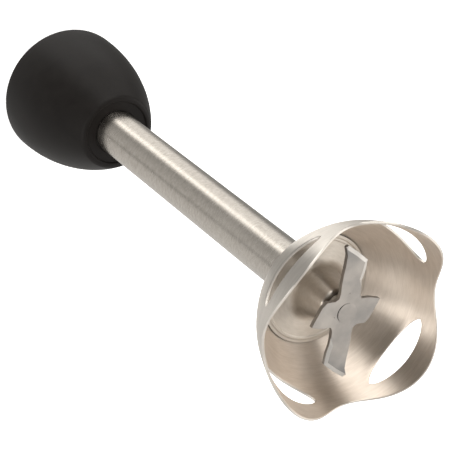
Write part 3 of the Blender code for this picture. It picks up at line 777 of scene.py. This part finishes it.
@dataclass
class Bell:
    """The bell with its wavy rim and slots, its floor with the hub, and the seal in the hub's end."""

    sheet: float = 0.9 * MM
    neck_radius: float = 8.9 * MM
    height: float = 37.8 * MM
    lobes: int = 4
    wave_depth: float = 7.7 * MM
    lobe_widening: float = 0.3 * MM
    slot_half_angle: float = math.radians(25.3)
    slot_half_height: float = 3.75 * MM
    slot_middle: float = 11.45 * MM
    slot_middle_rise: float = 0.85 * MM
    slot_bluntness: float = 0.6
    columns: int = 480
    rows_back: int = 30
    rows_front: int = 12
    outline: tuple[Point, ...] = ((0, 0), (0.2, 0.077), (0.38, 0.18), (0.578, 0.339), (0.792, 0.566),
                                  (0.944, 0.839), (1, 1))
    hub_height: float = 12.6 * MM
    hub_end_radius: float = 6.0 * MM
    hub_taper: float = 3.4 * MM
    edge_rise: float = 0.22 * MM
    edge_step: float = 0.05 * MM
    shaft_radius: float = 3.0 * MM
    tube_overlap: float = 8.2 * MM

    def __post_init__(self) -> None:
        """Reads the bell's place from the frame."""
        self.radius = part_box("bell")[1].x
        self.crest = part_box("tube")[1].z - self.tube_overlap + self.height
        self.neck = self.crest - self.height
        self.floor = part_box("bell_floor")[1].z - self.hub_height
        flare = self.radius - self.neck_radius
        self.knots = [Vector((self.neck_radius + flare * share, self.neck + self.height * rise))
                      for share, rise in self.outline]

    def section(self, place: float) -> Vector:
        """The bell's outside (radius, height) at a place from 0 at the neck to 1 at a lobe's tip."""
        knots = self.knots
        stretch = min(int(place * (len(knots) - 1)), len(knots) - 2)
        start, end = knots[stretch], knots[stretch + 1]
        before = knots[stretch - 1] if stretch > 0 else 2 * start - end
        after = knots[stretch + 2] if stretch + 2 < len(knots) else 2 * end - start
        step = place * (len(knots) - 1) - stretch
        pull_start, pull_end = (end - before) / 2, (after - start) / 2
        return ((2 * step ** 3 - 3 * step ** 2 + 1) * start
                + (step ** 3 - 2 * step ** 2 + step) * pull_start
                + (3 * step ** 2 - 2 * step ** 3) * end + (step ** 3 - step ** 2) * pull_end)

    def place_at(self, height: float) -> float:
        """The place along the section where the bell's outside reaches a height."""
        low, high = 0.0, 1.0
        for _ in range(32):
            middle = (low + high) / 2
            low, high = (middle, high) if self.section(middle).y < height else (low, middle)
        return (low + high) / 2

    def rim_height(self, turn: float) -> float:
        """Height of the wavy rim at an angle about the axis."""
        wave = self.wave_depth / 2 * (1 - math.cos(self.lobes * turn))
        return self.crest - wave + self.lobe_widening * (1 - math.cos(2 * self.lobes * turn))

    def from_slot(self, turn: float) -> float:
        """The angle from the middle of the nearest slot, as a share of half a slot."""
        pitch = 2 * math.pi / self.lobes
        return abs((turn + pitch / 2) % pitch - pitch / 2) / self.slot_half_angle

    def slot_edges(self, turn: float) -> tuple[float, float]:
        """Heights of the slot's back and front edge at an angle; the two meet outside the slot."""
        share = min(self.from_slot(turn), 1.0)
        middle = self.crest - self.slot_middle + self.slot_middle_rise * share ** 2.5
        half = self.slot_half_height * (1 - share ** 2) ** self.slot_bluntness
        return middle - half, middle + half

    def shell(self) -> Piece:
        """Models the bell from a grid, which is cut at its slots, wrapped round and made a sheet."""
        rows = self.rows_back + 1 + self.rows_front
        start_fresh()
        bpy.ops.mesh.primitive_grid_add(x_subdivisions=self.columns, y_subdivisions=rows, size=1)
        piece = bpy.context.object
        piece.name = piece.data.name = "bell_shell"
        bpy.ops.object.mode_set(mode="EDIT")
        bm = bmesh.from_edit_mesh(piece.data)
        bpy.ops.mesh.select_all(action="DESELECT")
        for face in bm.faces:
            middle = face.calc_center_median()
            row = int((middle.y + 0.5) * rows)
            if row == self.rows_back and self.from_slot((middle.x + 0.5) * 2 * math.pi) < 1:
                face.select = True
        bmesh.update_edit_mesh(piece.data)
        bpy.ops.mesh.delete(type="ONLY_FACE")
        bm = bmesh.from_edit_mesh(piece.data)
        places: dict[int, Triple] = {}
        for vertex in bm.verts:
            column = round((vertex.co.x + 0.5) * self.columns)
            row = round((vertex.co.y + 0.5) * rows)
            turn = 2 * math.pi * column / self.columns
            if column not in places:
                heights = (*self.slot_edges(turn), self.rim_height(turn))
                places[column] = tuple(self.place_at(height) for height in heights)
            back, front, rim = places[column]
            if row <= self.rows_back:
                place = back * row / self.rows_back
            else:
                place = front + (rim - front) * (row - self.rows_back - 1) / self.rows_front
            radius, height = self.section(place)
            vertex.co = (*polar(radius, turn), height)
        bmesh.update_edit_mesh(piece.data)
        close_up()
        if sum(face.normal.xy.dot(face.center.xy) for face in piece.data.polygons) < 0:
            piece.data.flip_normals()
        apply_modifier(piece, "SOLIDIFY", thickness=self.sheet, offset=-1.0, use_even_offset=True)
        bevel(piece, 0.2 * MM, 60, segments=3)
        return smooth(piece, 40)

    def hub(self) -> Piece:
        """Models the floor with its edge ring and the conical hub in one pressed sheet."""
        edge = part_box("bell_floor")[1].x
        base = self.hub_end_radius + self.hub_taper
        top = self.floor + self.hub_height
        hole = self.shaft_radius + 0.95 * MM
        sheet = self.sheet
        corners = [
            (hole, top, 0.2 * MM, 4), (self.hub_end_radius, top, 1.0 * MM, 8),
            (base, self.floor, 3.4 * MM, 12), (edge - 1.6 * MM, self.floor, 0.2 * MM, 4),
            (edge - 1.3 * MM, self.floor + self.edge_rise, 0.2 * MM, 4),
            (edge - 0.6 * MM, self.floor + self.edge_rise, 0.2 * MM, 4),
            (edge - 0.3 * MM, self.floor + self.edge_step, 0.15 * MM, 3),
            (edge + 0.6 * MM, self.floor + self.edge_step), (edge, self.floor - sheet),
            (base, self.floor - sheet), (base - sheet, self.floor),
            (self.hub_end_radius - sheet, top - sheet), (hole, top - sheet)]
        return turn_on_lathe("bell_floor_fine", corners, 224)

    def seal(self) -> Piece:
        """Models the rubber seal with its lip, in the hub's end."""
        low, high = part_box("shaft_seal")
        inner = self.shaft_radius + 0.1 * MM
        corners = [
            (inner, low.z), (high.x, low.z), (high.x, high.z, 0.2 * MM, 3),
            (inner + 0.75 * MM, high.z, 0.3 * MM, 4), (inner + 0.6 * MM, low.z + 1.4 * MM, 0.4 * MM, 5),
            (inner, high.z - 0.5 * MM, 0.15 * MM, 3)]
        return turn_on_lathe("shaft_seal_fine", corners, 96)

    def build(self, wardrobe: Wardrobe) -> None:
        """Builds and dresses the bell."""
        shell = self.shell()
        settle(shell, Body.FOOT, Slot.STEEL, wardrobe.bell.material(), "bell")
        # the inner side wears a warmer, brighter copy of the steel, painted bounce light for the light
        # thrown between the bell's inner walls
        shell.data.materials.append(wardrobe.bell_inside_painted_bounce.material())
        for face in shell.data.polygons:
            face.material_index = int(face.normal.xy.dot(face.center.xy) < 0)
        settle(self.hub(), Body.FOOT, Slot.STEEL, wardrobe.floor.material(), "bell_floor")
        settle(self.seal(), Body.FOOT, Slot.RUBBER, bpy.data.materials["seal_rubber"], "shaft_seal")


@dataclass
class Rotor:
    """What turns: the blade on its collar, the shaft with its head, and the drive coupling."""

    shaft_radius: float = 3.0 * MM
    ground_width: float = 1.35 * MM
    ground_drop: float = 0.4 * MM
    hole_radius: float = 3.4 * MM
    head_radius: float = 3.5 * MM
    head_shift: float = 0.5 * MM
    head_turn: float = math.radians(195)
    head_height: float = 0.8 * MM
    head_rise: float = 0.02 * MM
    dimples: tuple[Point, ...] = ((4.1 * MM, -5.4 * MM), (2.9 * MM, 3.6 * MM))
    dimple_radius: float = 0.35 * MM
    outline: tuple[Point, ...] = (
        (0.277, -0.027), (0.258, -0.088), (0.292, -0.152), (0.379, -0.254), (0.458, -0.367),
        (0.538, -0.488), (0.621, -0.596), (0.723, -0.663), (0.704, -0.706), (0.504, -0.725),
        (0.283, -0.725), (0.192, -0.596), (0.135, -0.475), (0.077, -0.392), (0.004, -0.306),
        (-0.054, -0.278), (-0.163, -0.360), (-0.321, -0.433), (-0.342, -0.363), (-0.367, -0.250),
        (-0.390, -0.146), (-0.378, -0.050))
    ground_points: tuple[int, int] = (8, 12)
    ground_tilt: Point = (0.85, 0.985)
    ground_area: float = 0.5 * MM ** 2
    groove_play: float = 0.15 * MM
    groove_depth: float = 0.6 * MM
    collar_rise: float = 0.25 * MM
    recess_depth: float = 8.0 * MM
    recess_tip: float = 5.7 * MM
    recess_root: float = 3.7 * MM
    recess_lobes: int = 6

    def blade(self) -> Piece:
        """Models the blade: the stamped plate, its ground edges and its centre hole."""
        low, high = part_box("blade")
        reach = max(high.x, -low.x) / max(x for x, _ in self.outline)
        half = [(reach * x, reach * y) for x, y in self.outline]
        whole = half + [(-x, -y) for x, y in half]
        piece = plate_from("blade_plate", whole, low.z)
        thicken(high.z - low.z - self.ground_drop)
        thicken(self.ground_drop)
        self._grind(piece, whole, high.z)
        close_up()
        cut_shape(piece, "cylinder", (0, 0, (low.z + high.z) / 2), vertices=96, radius=self.hole_radius,
                  depth=4 * MM)
        for x, y in self.dimples:
            cut_shape(piece, "uv_sphere", (x, y, high.z + 0.1 * MM), segments=20, ring_count=12,
                      radius=self.dimple_radius)
        bevel(piece, 0.1 * MM, 30)
        return smooth(piece, 12)

    def _grind(self, piece: Piece, whole: Sequence[Point], top: float) -> None:
        """Pulls the top edge of the cutting sides inwards, which leaves the slanted ground faces.

        Args:
            piece: the plate, in edit mode.
            whole: the plate's outline.
            top: height of its top face.
        """
        bm = bmesh.from_edit_mesh(piece.data)
        count = len(whole)
        first, last = self.ground_points
        for start in (0, count // 2):
            for index in range(start + first, start + last + 1):
                here = Vector(whole[index % count])
                before, after = Vector(whole[index - 1]), Vector(whole[(index + 1) % count])
                side = (after - before).normalized()
                inward = Vector((-side.y, side.x))
                if inward.dot(-here) < 0:
                    inward.negate()
                for vertex in bm.verts:
                    if abs(vertex.co.z - top) < MERGE and (vertex.co.xy - here).length < MERGE:
                        vertex.co.xy = here + inward * self.ground_width
        bmesh.update_edit_mesh(piece.data)

    def shaft(self) -> Piece:
        """Models the shaft with the groove of its clip."""
        low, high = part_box("drive_shaft")
        radius = self.shaft_radius
        groove = radius - self.groove_depth
        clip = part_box("retaining_clip")
        back, front = clip[0].z - self.groove_play, clip[1].z + self.groove_play
        corners = [
            (0, low.z), (radius, low.z, 0.4 * MM), (radius, back), (groove, back),
            (groove, front), (radius, front), (radius, high.z - 0.02 * MM, 0.15 * MM, 3),
            (0, high.z)]
        return turn_on_lathe("drive_shaft_fine", corners, 96)

    def head(self) -> Piece:
        """Models the peened head of the shaft, which was spread to one side of the blade's hole."""
        blade_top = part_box("blade")[1].z
        foot, top = blade_top - self.head_height, blade_top + self.head_rise
        corners = [
            (0, foot), (self.head_radius, foot), (self.head_radius, top, 0.08 * MM, 4),
            (0, top)]
        head = turn_on_lathe("shaft_head", corners, 96)
        head.location.xy = polar(self.head_shift, self.head_turn)
        place_mesh(head)
        return smooth(head)

    def collar(self) -> Piece:
        """Models the collar that the blade seats on."""
        low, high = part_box("blade_collar")
        bore = self.shaft_radius + 0.05 * MM
        top = high.z + self.collar_rise
        corners = [
            (bore, low.z), (high.x, low.z, 0.35 * MM), (high.x, top, 0.35 * MM),
            (bore, top)]
        return turn_on_lathe("blade_collar_fine", corners, 96)

    def dog(self) -> Piece:
        """Models the drive coupling with its star-shaped recess and the cross hole for its pin."""
        low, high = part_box("drive_coupling")
        outer = high.y
        bore = self.shaft_radius + 0.3 * MM
        corners = [
            (bore, low.z), (outer, low.z, 0.7 * MM), (outer, high.z, 0.5 * MM),
            (bore, high.z, 0.2 * MM, 3)]
        piece = turn_on_lathe("drive_coupling_fine", corners, 120)
        count = 4 * self.recess_lobes  # each lobe has two points at its tip and two at its root
        star = [polar(self.recess_tip if index % 4 < 2 else self.recess_root, 2 * math.pi * index / count)
                for index in range(count)]
        cutter = plate_from("star_cutter", star, low.z - 1 * MM)
        thicken(self.recess_depth + 1 * MM)
        close_up()
        cut_with(piece, cutter)
        pin_low, pin_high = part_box("coupling_pin")
        cut_shape(piece, "cylinder", (0, 0, (pin_high.z + pin_low.z) / 2), vertices=32,
                  radius=(pin_high.z - pin_low.z) / 2 + 0.15 * MM, depth=4 * outer,
                  rotation=(0, math.pi / 2, 0))
        bevel(piece, 0.12 * MM, 50)
        return smooth(piece)

    def build(self, wardrobe: Wardrobe) -> None:
        """Builds and dresses the rotor."""
        blade = self.blade()
        blade_finish = wardrobe.blade.material()
        settle(blade, Body.ROTOR, Slot.BLADE, blade_finish, "blade")
        blade.data.materials.append(wardrobe.ground.material())
        steepest, flattest = self.ground_tilt
        for face in blade.data.polygons:
            if steepest < face.normal.z < flattest and face.area > self.ground_area:
                face.material_index = 1
        shaft_finish = bpy.data.materials["ground_shaft"]
        settle(self.shaft(), Body.ROTOR, Slot.SHAFT, shaft_finish, "drive_shaft")
        settle(self.head(), Body.ROTOR, Slot.SHAFT, blade_finish)
        settle(self.collar(), Body.ROTOR, Slot.SHAFT, shaft_finish, "blade_collar")
        settle(self.dog(), Body.ROTOR, Slot.NYLON, wardrobe.nylon.material(), "drive_coupling")


@dataclass
class CarriedNodes:
    """CAD nodes that keep their own mesh and only get a finish."""

    finishes: tuple[tuple[str, tuple[str, ...]], ...] = (
        ("ground_shaft", ("coupling_pin", "retaining_clip")),
        ("moulded_nylon", ("thrust_washer", "shaft_guide")),
        ("liner_black", ("lower_bearing_carrier", "upper_bearing_carrier")),
        ("seal_rubber", ("carrier_o_ring", "tube_seal_ring")),
        ("sintered_bronze", ("upper_bush", "lower_bush")))

    def build(self, wardrobe: Wardrobe) -> None:
        """Gives every carried node its material."""
        wardrobe.bronze.material()
        for finish, nodes in self.finishes:
            for node in nodes:
                dress(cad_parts[node].data, bpy.data.materials[finish])
                LOG.info("%s keeps its CAD mesh and wears %s", node, finish)


# ---------------------------------------------------------------- studio
@dataclass
class Studio:
    """Camera, floor and the world, which gives all the light."""

    location: Triple = (0.3532, 0.0002, 0.5650)
    right: Triple = (-0.6077, -0.6197, 0.4967)
    up: Triple = (0.4771, -0.7848, -0.3955)
    back: Triple = (0.6349, -0.0034, 0.7726)
    lens: float = 126.97
    sensor: float = 36.0
    floor_size: float = 6.0
    tint: tuple[float, float, float, float] = (1.0, 0.985, 0.96, 1.0)
    zenith: float = 0.9
    zenith_change: Point = (0.6, 0.9)
    nadir: float = 0.75
    nadir_change: Point = (-0.84, -0.97)
    ring_scale: float = 6.0
    change_over: Point = (0.0, 0.2)
    low_ring: tuple[Point, ...] = (
        (-180, 0.80), (-150, 0.45), (-125, 0.30), (-106, 0.60), (-97, 1.42), (-76, 1.50), (-52, 1.45),
        (-46, 2.7), (-36, 2.7), (-30, 1.1), (-20, 0.48), (2, 0.62), (33, 0.76), (41, 0.34), (48, 0.76),
        (64, 0.84), (104, 0.90), (180, 0.80))
    high_ring: tuple[Point, ...] = (
        (-180, 1.60), (-140, 2.70), (-116, 2.40), (-100, 0.10), (-74, 0.0), (-68, 5.0), (-40, 4.8),
        (-28, 1.6), (-20, 0.1), (-8, 0.0), (20, 0.1), (30, 1.2), (37, 4.6), (45, 4.6), (53, 1.8),
        (80, 1.9), (104, 1.1), (180, 1.60))

    def camera(self) -> None:
        """Adds the camera."""
        data = bpy.data.cameras.new("camera")
        data.lens = self.lens
        data.sensor_width = self.sensor
        data.clip_start = 0.01
        item = bpy.data.objects.new("camera", data)
        bpy.context.scene.collection.objects.link(item)
        axes = Matrix((self.right, self.up, self.back)).transposed()
        item.matrix_world = Matrix.Translation(self.location) @ axes.to_4x4()
        bpy.context.scene.camera = item

    def floor(self) -> None:
        """Adds the plain pale floor."""
        start_fresh()
        bpy.ops.mesh.primitive_plane_add(size=self.floor_size)
        floor = bpy.context.object
        floor.name = "studio_floor"
        material, graph, shader = new_material("pale_floor")
        coat(graph, shader, Base_Color=(0.9, 0.9, 0.9, 1), Roughness=0.9, Emission_Color=(1, 1, 1, 1),
             Emission_Strength=0.6)
        floor.data.materials.append(material)
        floor.visible_glossy = floor.visible_diffuse = floor.visible_shadow = False

    def build(self) -> None:
        """Sets up the studio."""
        self.camera()
        self.floor()
        self.surroundings()
        bpy.context.scene.view_settings.view_transform = "Standard"

    def ring(self, graph: Graph, azimuth: Socket,
             stops: Sequence[Point]) -> Socket:
        """The wall's brightness by azimuth, as a share of ring_scale, from (degrees, level) stops."""
        ring = graph.add("ShaderNodeValToRGB", {0: azimuth})
        elements = ring.color_ramp.elements
        for index, (degrees, level) in enumerate(stops):
            element = elements[index] if index < 2 else elements.new(1.0)
            element.position = (degrees + 180) / 360
            element.color = (*[level / self.ring_scale] * 3, 1)
        return ring.outputs[0]

    def surroundings(self) -> None:
        """Makes the soft surroundings: how bright the studio is in each direction round the object."""
        world = bpy.data.worlds.new("studio_world")
        bpy.context.scene.world = world
        world.use_nodes = True
        graph = Graph(world.node_tree)
        way = graph.add("ShaderNodeTexCoord").outputs["Generated"]
        x, y, z = graph.add("ShaderNodeSeparateXYZ", {0: way}).outputs
        azimuth = graph.ramp(graph.math("ARCTAN2", y, x), -math.pi, math.pi)
        low, high = (self.ring(graph, azimuth, stops) for stops in (self.low_ring, self.high_ring))
        share = graph.ramp(z, *self.change_over)
        around = graph.mix(share, low, high)
        zenith, nadir = ((level / self.ring_scale,) * 3 + (1,) for level in (self.zenith, self.nadir))
        around = graph.mix(graph.ramp(z, *self.zenith_change), around, zenith)
        around = graph.mix(graph.ramp(z, *self.nadir_change), around, nadir)
        level = graph.times(around, self.ring_scale)
        background = world.node_tree.nodes["Background"]
        background.inputs[0].default_value = self.tint
        graph.feed(background.inputs[1], level)


def main() -> None:
    """Builds the whole visual model."""
    logging.basicConfig(level=logging.INFO, format="%(name)s: %(message)s")
    wardrobe = Wardrobe()
    Studio().build()
    for part in (Coupling(), Stem(), Bell(), Rotor(), CarriedNodes()):
        part.build(wardrobe)
    start_fresh()


if __name__ == "__main__":
    main()
